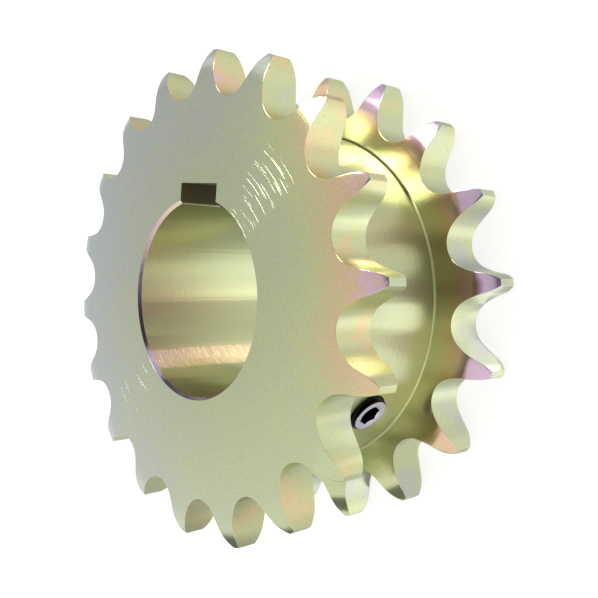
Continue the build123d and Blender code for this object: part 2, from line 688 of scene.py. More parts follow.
def sector(
    tree: bpy.types.NodeTree, place: dict, azimuth: float, full: float, none: float, both: bool = False
) -> bpy.types.NodeSocket:
    """How much a place belongs to one side of the sprocket.

    Args:
        tree: The node tree.
        place: Outputs that give the place on the sprocket, from locate().
        azimuth: Heading of that side's middle, in degrees.
        full: Degrees off it up to which the share is 1.
        none: Degrees off it past which the share is 0.
        both: Whether the opposite side counts as well.

    Returns:
        The output with the share.
    """
    towards = {"operation": "DOT_PRODUCT", 1: heading(azimuth)}
    towards = add(tree, "VectorMath", towards, {0: place["way"]}).outputs["Value"]
    if both:
        towards = add(tree, "Math", {"operation": "ABSOLUTE"}, {0: towards}).outputs[0]
    span = eased(cos(radians(none)), cos(radians(full)))
    return add(tree, "MapRange", span, {"Value": towards}).outputs[0]


def heading(azimuth: float, elevation: float = 0.0) -> Vector:
    """Unit vector for a heading in degrees, clockwise from +Y seen from the front, and a rise."""
    turn, rise = radians(azimuth), radians(elevation)
    return Vector((sin(turn) * cos(rise), cos(turn) * cos(rise), sin(rise)))


def locate(tree: bpy.types.NodeTree) -> dict:
    """Outputs that give the place on the sprocket, in millimetres.

    Args:
        tree: The node tree.

    Returns:
        The point, its height z, its radius from the axis, and the way out to it as a unit vector.
    """
    coordinates = add(tree, "TexCoord").outputs["Object"]
    point = add(tree, "VectorMath", {"operation": "SCALE", "Scale": 1 / MM}, {0: coordinates}).outputs[0]
    flat = add(tree, "VectorMath", {"operation": "MULTIPLY", 1: (1, 1, 0)}, {0: point}).outputs[0]
    z = add(tree, "SeparateXYZ", {}, {0: point}).outputs["Z"]
    radius = add(tree, "VectorMath", {"operation": "LENGTH"}, {0: flat}).outputs["Value"]
    way = add(tree, "VectorMath", {"operation": "NORMALIZE"}, {0: flat}).outputs[0]
    return {"point": point, "z": z, "radius": radius, "way": way}


@dataclass(frozen=True)
class ScrewSteel:
    """Hardened alloy steel of the set screw: a plain metal with a fine grain.

    Black oxide gives a near black with a dull oily sheen, and the end that was faced after it a
    pale grey with a lilac cast.
    """

    name: str
    colour: str
    roughness: float
    grain: float = 0.4
    grain_height: float = 0.004

    def material(self) -> bpy.types.Material:
        """Make the finish as a material.

        Returns:
            The material.
        """
        material = blank_material(self.name)
        tree = material.node_tree
        place = add(tree, "TexCoord").outputs["Object"]
        noise = add(tree, "TexNoise", {"Scale": 1 / (self.grain * MM), "Detail": 2.0}, {"Vector": place})
        height = {"Strength": 1.0, "Distance": self.grain_height * MM}
        bump = add(tree, "Bump", height, {"Height": noise.outputs[0]})
        shader = add(
            tree,
            "BsdfPrincipled",
            {"Metallic": 1.0, "Roughness": self.roughness, "Base Color": linear(self.colour)},
            {"Normal": bump.outputs[0]},
        )
        add(tree, "OutputMaterial", {}, {"Surface": shader.outputs[0]})
        return material


# --------------------------------------------------------------------------- the toothed body


@dataclass(frozen=True)
class ToothForm:
    """The roller chain standard's tooth form, in millimetres and degrees.

    The bare numbers in its sums are the standard's own.
    """

    pitch: float = 15.875
    roller: float = 10.16
    teeth: int = 18
    allowance: float = 0.0381
    seat_steps: int = 7
    working_steps: int = 6
    topping_steps: int = 6

    @property
    def pitch_r(self) -> float:
        """Radius of the pitch circle."""
        return self.pitch / (2 * sin(pi / self.teeth))

    @property
    def tip_r(self) -> float:
        """Radius over the tooth tips."""
        return self.pitch * (0.6 + 1 / tan(pi / self.teeth)) / 2

    @property
    def root_r(self) -> float:
        """Radius at the bottom of the gaps."""
        return self.pitch_r - self.seat_r

    @property
    def seat_r(self) -> float:
        """Radius of the roller's seat."""
        return 0.5025 * self.roller + self.allowance

    def build(self) -> bpy.types.Object:
        """Draw the teeth.

        Returns:
            One closed outline of all of them at z = 0, as a loop of edges.
        """
        seat = radians(35 + 60 / self.teeth)
        turn = radians(18 - 56 / self.teeth)
        lean = radians(17 - 64 / self.teeth)
        half = pi / self.teeth
        working_r = 1.3025 * self.roller + self.allowance
        offset = 0.8 * self.roller
        far = 1.4 * self.roller
        topping_r = offset * cos(turn) + far * cos(lean) - working_r
        flat = far * sin(lean) - offset * sin(turn)

        roller = Vector((0, self.pitch_r, 0))
        working = roller + Vector((-cos(seat), sin(seat), 0)) * offset
        topping = roller + Vector((cos(half), -sin(half), 0)) * far
        reach = hypot(topping.x, topping.y)
        at_centre = acos((topping_r**2 + reach**2 - self.tip_r**2) / (2 * topping_r * reach))
        topping_end = atan2(-topping.y, -topping.x) - at_centre
        topping_turn = (topping_end - (pi - (seat - turn))) % (2 * pi) - 2 * pi
        tip = topping + Vector((cos(topping_end), sin(topping_end), 0)) * topping_r
        land = -(half - atan2(tip.x, tip.y))

        outline = first_vertex("tooth_outline", Vector((0, self.root_r, 0)) * MM)
        sweep(roller * MM, pi / 2 - seat, self.seat_steps)
        sweep(working * MM, turn, self.working_steps)
        extrude(Vector((sin(seat - turn), cos(seat - turn), 0)) * flat * MM)
        sweep(topping * MM, topping_turn, self.topping_steps)
        sweep(Vector(), land, 1)
        pick_all()
        bpy.ops.mesh.duplicate()
        bpy.ops.transform.resize(value=(-1, 1, 1), center_override=(0, 0, 0))
        spin_round(self.teeth, copies=True, merge=0.004)
        outline.rotation_euler.z = half
        settle(outline)
        return outline


FINISHES = {
    # Turned face: fine rings, grey-green to olive, pinker at one side, with bright arcs from grit.
    "outer_face": PlatedSteel(
        "faced_plate", Lay.RINGS_ON_FACE, 0.18, 0.65, 0.98, 0.30,
        drift=(0.20, -0.04, 0.0), outward=-0.22, brighter_outward=0.25,
        patch=0.10, patch_size=14.0, mottle=0.13, mottle_size=1.3,
        tinge=0.40, tinge_heading=68.0, tinge_full=14.0, tinge_none=50.0, tinge_from=28.0, tinge_to=49.0,
        mark_pitch=0.35, mark_length=8.0, mark_slope=0.05,
        scratch_slope=0.34, scratch_width=0.13, scratch_length=14.0, scratch_from=0.63, speckle=0.16,
    ),
    # Turned face towards the hub: smoother rings, olive by the hub and violet at the teeth.
    "inner_face": PlatedSteel(
        "faced_plate_inside", Lay.RINGS_ON_FACE, 0.17, 0.60, 1.12, 0.48,
        drift=(0.05, 0.05, 0.0),
        tinge=0.36, tinge_heading=60.0, tinge_full=35.0, tinge_none=85.0, tinge_from=37.0, tinge_to=47.0,
        mark_pitch=0.60, mark_length=12.0, mark_slope=0.025,
    ),
    # Hobbed gaps: marks along the bore, and a cloudy film in pale green, straw and peach.
    "flank": PlatedSteel(
        "hobbed_teeth", Lay.ALONG_BORE, 0.32, 0.0, 1.45, 0.35,
        drift=(0.0, 0.05, 0.22), patch=0.46, patch_size=9.0, mottle=0.10,
        tinge=0.10, tinge_heading=4.0, tinge_full=3.5, tinge_none=8.0,
        mark_pitch=0.5, mark_length=6.0, mark_slope=0.05, pits=0.3, pit_size=0.4,
    ),
    # Turned wall: rings that draw the light out along the bore, with soft bands from chatter and colour bands
    # that are partly painted reflection.
    "hub": PlatedSteel(
        "turned_hub", Lay.RINGS_ON_WALL, 0.25, 0.95, 1.23, 0.45,
        bands=0.20, bands_round=4.0, patch=0.05,
        tinge=0.12, tinge_heading=64.0, tinge_full=4.0, tinge_none=13.0,
        mark_pitch=0.8, mark_length=30.0, mark_slope=0.06, chatter_slope=0.015,
    ),
    # Corner radius by the hub: a thin line with painted shade, dark on one side and pale on the other.
    "corner": PlatedSteel(
        "corner_radius", Lay.RINGS_ON_WALL, 0.35, 0.5, 1.0, 0.90, CORNER_SHADE,
        # the thin film on this side gives the painted shade
        tinge=-0.85, tinge_heading=20.0, tinge_full=28.0, tinge_none=34.0, patch=0.15, patch_size=5.0,
    ),
    # Bored wall: light drawn out into bands, colour bands that are partly painted reflection, and one strip
    # of slanting marks under a painted highlight.
    "bore": PlatedSteel(
        "bored_wall", Lay.RINGS_ON_WALL, 0.30, 0.95, 1.14, 0.21,
        drift=(-0.57, -0.32, 0.26), bands=0.20, bands_round=3.2, patch=0.04,
        # painted highlight on the strip of slanting marks
        tinge=0.13, tinge_heading=221.0, tinge_full=6.0, tinge_none=8.5, painted_highlight=0.34,
        mark_pitch=0.60, mark_length=12.0, mark_slope=0.46,
        mark_elsewhere=0.10, mark_heading=221.0, mark_full=6.0, mark_none=8.5, chatter_slope=0.015,
    ),
    # Chamfer of the bore's mouth: painted light and shade, cream on one side and near black on the other.
    "chamfer": PlatedSteel(
        "mouth_chamfer", Lay.RINGS_ON_FACE, 0.18, 0.5, 1.0, 0.35, MOUTH_LIGHT_AND_SHADE,
        # the drift carries the painted light over to painted shade across the mouth
        drift=(-0.96, -0.96, 0.0), patch=0.10, patch_size=8.0,
    ),
    # Broached keyway: dull, with painted shade that darkens the recess.
    "keyway": PlatedSteel("broached_keyway", Lay.ALONG_BORE, 0.5, 0.0, 0.42, 0.6),
    # Tapped hole: dark, because little light gets in beside the screw.
    "hole": PlatedSteel("tapped_hole", Lay.ALONG_BORE, 0.5, 0.0, 0.25, 0.5),
}
BLACK_OXIDE = ScrewSteel("black_oxide", "#1b1b1d", 0.35)
FACED_END = ScrewSteel("faced_end", "#cfc9d8", 0.38)


@dataclass(frozen=True)
class ToothedBody:
    """The body that was turned, bored, toothed, keyed and tapped from one bar, in millimetres."""

    form: ToothForm = field(default_factory=ToothForm)
    row_width: float = 8.4
    relief_height: float = 6.2
    relief_bend: float = 2.8
    relief_depth: float = 2.1
    relief_rings: int = 14
    relief_points: int = 64
    former_steps: int = 720
    wall_cuts: int = 8
    plain_ring: float = 1.0
    hub_clearance: float = 0.58
    hub_corner: float = 0.4
    bore_chamfer: float = 0.6
    key_width: float = 12.0
    key_depth: float = 3.3
    key_break: float = 0.2
    hole_d: float = 8.0
    hole_chamfer: float = 0.35
    edge_break: float = 0.07
    sharp_from: float = 50.0
    smooth_to: float = 35.0
    spare: float = 1.0
    finishes: dict[str, PlatedSteel] = field(default_factory=lambda: dict(FINISHES))

    @property
    def width(self) -> float:
        """Length of the bore, from outer face to outer face."""
        return BODY_BOX[1].z / MM

    @property
    def bore_r(self) -> float:
        """Radius of the bore, from the frame's mount."""
        mount = next(m for m in frame["record"]["mounts"] if m["name"] == "bore")
        return mount["dims"]["r_mm"]

    @property
    def hub_r(self) -> float:
        """Radius of the hub, clear of the chain's link plates."""
        form = self.form
        return form.pitch * (1 / tan(pi / form.teeth) - 1) / 2 - self.hub_clearance

    @property
    def inner_r(self) -> float:
        """Radius of the plain ring between the teeth and the rest of a face."""
        return self.form.root_r - self.plain_ring

    def relief_former(self) -> bpy.types.Object:
        """Turn a disc with the side relief's true curve, which shapes a face's teeth.

        Returns:
            The disc, with its flat part at z = 0.
        """
        tip, flat = self.form.tip_r, self.form.tip_r - self.relief_height
        bend = tip - self.relief_bend
        curve = begin(bpy.ops.curve.primitive_bezier_curve_add, "relief_former")
        spline = curve.data.splines[0]
        spline.resolution_u = self.relief_points
        start, end = spline.bezier_points
        for point in (start, end):
            point.handle_left_type = point.handle_right_type = "FREE"
        start.co = Vector((flat, 0, 0)) * MM
        end.co = Vector((tip, 0, -self.relief_depth)) * MM
        corner = Vector((bend, 0, 0)) * MM
        # Handles two thirds of the way to the corner make the curve the parabola between its sides.
        start.handle_left = start.co
        start.handle_right = start.co.lerp(corner, 2 / 3)
        end.handle_left = end.co.lerp(corner, 2 / 3)
        end.handle_right = end.co
        slope = (end.co - corner).normalized()
        bpy.ops.object.convert(target="MESH")
        former = bpy.context.object
        settle(former)
        edit(former)
        pick(near(Vector((flat, 0, 0)) * MM))
        extrude(Vector((self.inner_r - self.spare - flat, 0, 0)) * MM)
        pick(near(Vector((tip, 0, -self.relief_depth)) * MM))
        extrude(slope * self.spare * MM)
        spin_round(self.former_steps, copies=False, merge=0.001)
        return former

    def tooth_ring(self) -> bpy.types.Object:
        """Make the toothed edge of a face.

        Returns:
            The ring at z = 0, with its relief falling towards -Z.
        """
        ring = self.form.build()
        count = len(ring.data.vertices)
        edit(ring, "EDGE")
        bpy.ops.mesh.primitive_circle_add(vertices=count, radius=self.inner_r * MM)
        pick_all()
        bpy.ops.mesh.bridge_edge_loops(number_cuts=self.relief_rings, interpolation="LINEAR")
        close()
        former = self.relief_former()
        take(ring)
        wrap = ring.modifiers.new("relief", "SHRINKWRAP")
        wrap.wrap_method = "PROJECT"
        wrap.use_project_z = True
        wrap.use_negative_direction = wrap.use_positive_direction = True
        wrap.target = former
        apply_all(ring)
        discard(former)
        return ring

    def extend(self, face: bpy.types.Object, steps: list[tuple[float, float]]) -> None:
        """Carry a face's innermost ring inwards.

        Args:
            face: The face, whose innermost ring is at the first step's radius.
            steps: Radius and height of the ring to start from and of each new one, in millimetres.
        """
        edit(face, "EDGE")
        radius, height = steps[0]
        rim = (radius + RIM_REACH) * MM
        pick(lambda edge: edge.is_boundary and edge.verts[0].co.xy.length < rim, "edges")
        for new_radius, new_height in steps[1:]:
            share = new_radius / radius
            bpy.ops.mesh.extrude_edges_move(
                TRANSFORM_OT_translate={"value": (0, 0, (new_height - height) * MM)}
            )
            bpy.ops.transform.resize(value=(share, share, 1), center_override=(0, 0, new_height * MM))
            radius, height = new_radius, new_height
        close()

    def faces(self) -> list[bpy.types.Object]:
        """Make the four turned faces.

        Returns:
            The faces from the front to the rear, each with its own inner edge.
        """
        ring = self.tooth_ring()
        mouth, corner, hub = self.bore_r + self.bore_chamfer, self.hub_corner, self.hub_r
        front_in, rear_in = self.width - self.row_width, self.row_width
        made = []
        for name, height, way, inner in (
            ("front_outer", self.width, 1, False),
            ("front_inner", front_in, -1, True),
            ("rear_inner", rear_in, 1, True),
            ("rear_outer", 0.0, -1, False),
        ):
            face = copy_of(ring, name)
            face.scale.z = way
            face.location.z = height * MM
            settle(face)
            steps = [(self.inner_r, height)]
            if inner:
                steps += [
                    (hub + corner * (1 - sin(turn)), height + way * corner * (1 - cos(turn)))
                    for turn in (0, pi / 6, pi / 3, pi / 2)
                ]
            else:
                steps += [
                    (self.hub_r, height),
                    ((self.hub_r + mouth) / 2, height),
                    (mouth, height),
                    (self.bore_r, height - way * self.bore_chamfer),
                ]
            self.extend(face, steps)
            made.append(face)
        discard(ring)
        return made

    def blank(self) -> bpy.types.Object:
        """Join the faces by walls and break their edges.

        Returns:
            The toothed body before its keyway and screw hole are cut.
        """
        body = join(self.faces(), "toothed_body")
        edit(body, "EDGE")
        teeth, half, cuts_in_wall = self.form.root_r - RIM_REACH, self.width / 2, self.wall_cuts
        for low, high, height_from, height_to, cuts in (
            (teeth, FAR, half, FAR, 0),
            (teeth, FAR, -FAR, half, 0),
            (self.hub_r - RIM_REACH, self.hub_r + RIM_REACH, -FAR, FAR, cuts_in_wall),
            (0, self.bore_r + RIM_REACH, -FAR, FAR, cuts_in_wall),
        ):
            pick(
                lambda edge: edge.is_boundary
                and low * MM < edge.verts[0].co.xy.length < high * MM
                and height_from * MM < edge.verts[0].co.z < height_to * MM,
                "edges",
            )
            bpy.ops.mesh.bridge_edge_loops(number_cuts=cuts, interpolation="LINEAR")
        pick_all()
        bpy.ops.mesh.normals_make_consistent(inside=False)
        bpy.ops.mesh.select_all(action="DESELECT")
        bpy.ops.mesh.edges_select_sharp(sharpness=radians(self.sharp_from))
        bpy.ops.mesh.bevel(
            offset=self.edge_break * MM, segments=2, profile=0.5, affect="EDGES", clamp_overlap=False
        )
        close()
        return body

    def key_cutter(self) -> bpy.types.Object:
        """Make the broach that cuts the keyway, with a broken edge at each side of its mouth.

        Returns:
            The cutter.
        """
        top = self.bore_r + self.key_depth
        half, rim = self.key_width / 2, self.edge_break + self.key_break
        low = sqrt(self.bore_r**2 - half**2) + self.key_break
        cutter = begin(bpy.ops.mesh.primitive_cube_add, "key_cutter", size=MM)
        cutter.scale = (self.key_width, top - low, self.width + 2 * self.spare)
        cutter.location = Vector((0, (top + low) / 2, self.width / 2)) * MM
        settle(cutter)
        edit(cutter, "FACE")
        pick(lambda face: face.normal.y < -SQUARE, "faces")
        extrude((0, -rim * MM, 0))
        bpy.ops.transform.resize(value=((half + rim) / half, 1, 1), center_override=(0, 0, 0))
        extrude((0, -half * MM, 0))
        close()
        return cutter

    def hole_cutter(self) -> bpy.types.Object:
        """Make the drill and countersink for the set screw's tapped hole.

        Returns:
            The cutter, on the screw's axis.
        """
        radius = self.hole_d / 2
        cutter = cylinder("hole_cutter", radius, 0, self.hub_r - self.hole_chamfer)
        edit(cutter, "FACE")
        pick(lambda face: face.normal.z > SQUARE, "faces")
        rise = self.hole_chamfer + self.spare
        share = (radius + rise) / radius
        extrude((0, 0, rise * MM))
        bpy.ops.transform.resize(value=(share, share, 1), center_override=(0, 0, 0))
        close()
        cutter.matrix_world = across_screw()
        settle(cutter)
        return cutter

    def dress(self, body: bpy.types.Object) -> None:
        """Give each surface of the body the finish of the tool that cut it.

        A face is known by the place of its middle, with a little slack, and by how much it leans
        from the bore's direction.

        Args:
            body: The body in its last shape.
        """
        hole = across_screw().inverted()
        slack, hole_slack, row_slack, wide = 0.02, 0.05, 0.01, 1.0
        bore_lean, hub_lean, flank_lean = 0.3, 0.1, 0.6
        hole_r = self.hole_d / 2 + self.hole_chamfer + hole_slack
        bore_r, hub_r, gap_r = self.bore_r, self.hub_r, self.form.root_r - 0.5
        low_face, high_face = self.row_width + row_slack, self.width - self.row_width - row_slack
        key_top = self.bore_r + self.key_depth + wide

        def where(face: bmesh.types.BMFace) -> str:
            """The key of a face's finish.

            Args:
                face: A face of the body.

            Returns:
                The key.
            """
            centre, normal = face.calc_center_median() / MM, face.normal
            local = hole @ (centre * MM) / MM
            out = (hole.to_3x3() @ normal).z
            radius, lean = centre.xy.length, abs(normal.z)
            if local.xy.length < hole_r and local.z > bore_r - wide and abs(out) < SQUARE:
                return "hole"
            if bore_r + slack < radius < key_top and max(abs(normal.x), abs(normal.y)) > SQUARE:
                return "keyway"
            if radius < bore_r + slack and lean < bore_lean:
                return "bore"
            if radius < bore_r + self.bore_chamfer + slack and lean < SQUARE:
                return "chamfer"
            if radius < hub_r + self.hub_corner + slack and low_face < centre.z < high_face:
                return "hub" if lean < hub_lean else "corner"
            if radius > gap_r and lean < flank_lean:
                return "flank"
            inside = self.row_width / 2 < centre.z < self.width - self.row_width / 2
            return "inner_face" if inside else "outer_face"

        edit(body, "FACE")
        for number, (part, finish) in enumerate(self.finishes.items()):
            body.data.materials.append(finish.material())
            body.active_material_index = number
            count = pick(lambda face: where(face) == part, "faces")
            bpy.ops.object.material_slot_assign()
            log.info("%s: %d faces", part, count)
        close()

    def build(self) -> bpy.types.Object:
        """Make the finished toothed body.

        Returns:
            The body, in its place.
        """
        body = self.blank()
        cut(body, self.key_cutter())
        cut(body, self.hole_cutter())
        self.dress(body)
        take(body)
        bpy.ops.object.shade_smooth_by_angle(angle=radians(self.smooth_to))
        weigh = body.modifiers.new("weigh", "WEIGHTED_NORMAL")
        weigh.keep_sharp = True
        apply_all(body)
        return body


def across_screw(radius: float = 0.0) -> Matrix:
    """Frame of the set screw's axis: +Z points out of the hub, and +X along the bore.

    Args:
        radius: Distance of the origin from the bore's axis, in millimetres.

    Returns:
        The frame as a matrix.
    """
    low, high = SCREW_BOX
    middle = (low + high) / 2
    out = Vector((middle.x, middle.y, 0)).normalized()
    along = Vector((0, 0, 1))
    side = out.cross(along)
    turn = Matrix((along, side, out)).transposed().to_4x4()
    return Matrix.Translation(out * radius * MM + along * middle.z) @ turn


@dataclass(frozen=True)
class SetScrew:
    """Socket set screw with a metric coarse thread and a cup point, in millimetres."""

    thread_d: float = 7.9
    thread_pitch: float = 1.25
    thread_depth: float = 0.72
    crest_share: float = 0.08
    foot_share: float = 0.43
    chamfer: float = 0.35
    socket_af: float = 4.0
    socket_depth: float = 5.0
    socket_mouth_d: float = 4.9
    cup_d: float = 5.0
    head_r: float = 37.6
    point_r: float = 21.6
    spare: float = 0.5
    slack: float = 0.01
    merge: float = 0.0005
    smooth_to: float = 30.0

    @property
    def length(self) -> float:
        """Length from head end to point."""
        return self.head_r - self.point_r

    def threaded_bar(self) -> bpy.types.Object:
        """Wind the thread's profile round a bar and cut the bar square at both ends.

        Returns:
            The threaded bar, a little longer than the screw.
        """
        crest, root = self.thread_d / 2, self.thread_d / 2 - self.thread_depth
        pitch, half = self.thread_pitch, self.thread_pitch / 2
        top, foot = self.crest_share * pitch, self.foot_share * pitch
        chain = ((root, -half), (root, -foot), (crest, -top), (crest, top), (root, foot), (root, half))
        bar = first_vertex("threaded_bar", Vector((chain[0][0], 0, chain[0][1] - 2 * pitch)) * MM)
        for before, after in zip(chain, chain[1:]):
            extrude(Vector((after[0] - before[0], 0, after[1] - before[1])) * MM)
        close()
        winding = bar.modifiers.new("winding", "SCREW")
        winding.axis = "Z"
        winding.angle = 2 * pi
        winding.screw_offset = pitch * MM
        winding.iterations = int(self.length / pitch) + 5
        winding.steps = winding.render_steps = SIDES
        winding.use_merge_vertices = True
        winding.merge_threshold = self.merge * MM
        apply_all(bar)
        edit(bar)
        pick_all()
        bpy.ops.mesh.remove_doubles(threshold=self.merge * MM)
        for height, way in ((-self.spare, -1), (self.length + self.spare, 1)):
            pick_all()
            bpy.ops.mesh.bisect(
                plane_co=(0, 0, height * MM), plane_no=(0, 0, way), use_fill=True, clear_outer=True
            )
        pick_all()
        bpy.ops.mesh.normals_make_consistent(inside=False)
        close()
        return bar

    def chamfered_bar(self) -> bpy.types.Object:
        """Make a plain bar as long as the screw, with both ends chamfered.

        Returns:
            The bar, a hair thicker than the thread.
        """
        bar = cylinder("chamfered_bar", self.thread_d / 2 + self.slack, 0, self.length)
        edit(bar, "FACE")
        pick(lambda face: abs(face.normal.z) > SQUARE, "faces")
        bpy.ops.mesh.bevel(offset=(self.chamfer + self.slack) * MM, segments=1, affect="EDGES")
        close()
        return bar

    def socket_cutter(self) -> bpy.types.Object:
        """The hexagon broach, at the head end."""
        corner_r = self.socket_af / 2 / cos(pi / 6)
        return cylinder("socket_cutter", corner_r, self.length - self.socket_depth, self.length + 1, 6)

    def cone(self, wide_d: float, at: float, way: int) -> bpy.types.Object:
        """A 120 degree cone that narrows into the screw.

        Args:
            wide_d: Diameter where it crosses the screw's end.
            at: Height of that end.
            way: 1 at the head end and -1 at the point.

        Returns:
            The cone, run on a little past the end.
        """
        slope = tan(radians(60))
        depth = wide_d / 2 / slope
        made = begin(
            bpy.ops.mesh.primitive_cone_add,
            "cone_cutter",
            vertices=SIDES,
            radius1=0,
            radius2=(wide_d / 2 + self.spare * slope) * MM,
            depth=(depth + self.spare) * MM,
            location=(0, 0, (at + way * (self.spare - depth) / 2) * MM),
            rotation=(0 if way > 0 else pi, 0, 0),
        )
        settle(made)
        return made

    def dress(self, screw: bpy.types.Object) -> None:
        """Give the screw black oxide all over, but for the faced end and the mouth of its socket.

        Args:
            screw: The screw, standing on its point at z = 0.
        """
        screw.data.materials.clear()
        screw.data.materials.append(BLACK_OXIDE.material())
        screw.data.materials.append(FACED_END.material())
        edit(screw, "FACE")
        pick_all()
        screw.active_material_index = 0
        bpy.ops.object.material_slot_assign()
        end = (self.length - self.socket_mouth_d / 2) * MM
        rim = (self.thread_d / 2 - self.chamfer + 5 * self.slack) * MM
        facing_out = 0.4
        pick(
            lambda face: face.normal.z > facing_out
            and face.calc_center_median().z > end
            and all(vertex.co.xy.length < rim for vertex in face.verts),
            "faces",
        )
        screw.active_material_index = 1
        bpy.ops.object.material_slot_assign()
        close()

    def build(self) -> bpy.types.Object:
        """Make the finished screw.

        Returns:
            The screw, in its hole.
        """
        screw = self.threaded_bar()
        cut(screw, self.chamfered_bar(), "INTERSECT")
        cut(screw, self.socket_cutter())
        cut(screw, self.cone(self.socket_mouth_d, self.length, 1))
        cut(screw, self.cone(self.cup_d, 0, -1))
        self.dress(screw)
        screw.matrix_world = across_screw(self.point_r)
        settle(screw)
        bpy.ops.object.shade_smooth_by_angle(angle=radians(self.smooth_to))
        return screw


def glowing(name: str, brightness: float) -> bpy.types.Material:
    """Plain white card, lit evenly: in the metal it shows at its brightness.

    Args:
        name: The material's name.
        brightness: Its level, where 1 is white.

    Returns:
        The material.
    """
    material = blank_material(name)
    tree = material.node_tree
    glow = add(tree, "Emission", {"Color": linear(WHITE), "Strength": brightness})
    add(tree, "OutputMaterial", {}, {"Surface": glow.outputs[0]})
    return material


def show_in_metal_only(card: bpy.types.Object, brightness: float) -> None:
    """Make a card of the studio that only the metal mirrors.

    Args:
        card: The card, in its place.
        brightness: Its level, where 1 is white.
    """
    card.visible_camera = card.visible_diffuse = card.visible_shadow = False
    card.visible_transmission = card.visible_volume_scatter = False
    card.data.materials.append(glowing(card.name, brightness))


@dataclass(frozen=True)
class Board:
    """A card that stands round the sprocket, facing it: a lamp's diffuser or a black flag."""

    name: str
    azimuth: float
    elevation: float
    distance: float
    width: float
    height: float
    brightness: float
    roll: float = 0.0

    def build(self) -> None:
        """Stand the board in its place."""
        board = begin(bpy.ops.mesh.primitive_plane_add, self.name, size=MM)
        way = heading(self.azimuth, self.elevation)
        board.scale = (self.width, self.height, 1)
        board.rotation_mode = "QUATERNION"
        turn = Matrix.Rotation(radians(self.roll), 3, "Z").to_quaternion()
        board.rotation_quaternion = (-way).to_track_quat("Z", "Y") @ turn
        board.location = (way * self.distance + Vector((0, 0, MIDDLE))) * MM
        settle(board)
        show_in_metal_only(board, self.brightness)


@dataclass(frozen=True)
class Mat:
    """A card that lies on the floor: from the middle of its near end it runs out on a heading."""

    name: str
    start: tuple[float, float]
    heading: float
    width: float
    length: float
    brightness: float
    height: float = 0.5

    def build(self) -> None:
        """Lay the mat in its place."""
        mat = begin(bpy.ops.mesh.primitive_plane_add, self.name, size=MM)
        mat.scale = (self.width, self.length, 1)
        mat.location = Vector((0, self.length / 2, 0)) * MM
        settle(mat)
        mat.rotation_euler.z = -radians(self.heading)
        mat.location = Vector((*self.start, self.height)) * MM
        settle(mat)
        show_in_metal_only(mat, self.brightness)


def by_heading(
    tree: bpy.types.NodeTree, x: bpy.types.NodeSocket, y: bpy.types.NodeSocket, levels: tuple
) -> bpy.types.NodeSocket:
    """A level that changes with the heading.

    Args:
        tree: The node tree.
        x: The heading's share along +X.
        y: The heading's share along +Y.
        levels: Pairs of a heading in degrees, from -180 to 180, and its level.

    Returns:
        The output with the level.
    """
    turn = add(tree, "Math", {"operation": "ARCTAN2"}, {0: x, 1: y}).outputs[0]
    share = {"operation": "MULTIPLY_ADD", 1: 0.5 / pi, 2: 0.5}  # the whole turn, from 0 to 1
    share = add(tree, "Math", share, {0: turn}).outputs[0]
    brightest = max(level for _, level in levels)
    stops = [(azimuth / 360 + 0.5, (*[level / brightest] * 3, 1)) for azimuth, level in levels]
    level = set_stops(add(tree, "ValToRGB", {}, {0: share}), stops)
    return add(tree, "Math", {"operation": "MULTIPLY", 1: brightest}, {0: level}).outputs[0]


@dataclass(frozen=True)
class LightWell:
    """A round wall under the bore that sends light up through it, brighter on some headings."""

    radius: float = 24.0
    depth: float = 60.0
    gap: float = 0.05
    levels: tuple[tuple[float, float], ...] = (
        (-180, 1.05), (-162, 0.83), (-145, 0.65), (-120, 0.40), (-100, 0.25), (-85, 0.15),
        (-67, 0.30), (-57, 0.45), (-33, 2.4), (-15, 3.0), (-12, 1.2), (26, 1.15), (83, 1.25),
        (85, 3.0), (100, 2.4), (113, 2.0), (161, 2.0), (165, 1.3), (180, 1.05),
    )

    def build(self) -> None:
        """Sink the well in the floor."""
        wall = begin(
            bpy.ops.mesh.primitive_cylinder_add,
            "light_well",
            vertices=SIDES,
            radius=self.radius * MM,
            depth=self.depth * MM,
            end_fill_type="NOTHING",
            location=(0, 0, -(self.depth / 2 + self.gap) * MM),
        )
        settle(wall)
        show_in_metal_only(wall, 1.0)
        tree = wall.data.materials[0].node_tree
        parts = add(tree, "SeparateXYZ", {}, {0: add(tree, "TexCoord").outputs["Object"]}).outputs
        glow = next(node for node in tree.nodes if node.type == "EMISSION")
        tree.links.new(by_heading(tree, parts["X"], parts["Y"], self.levels), glow.inputs["Strength"])


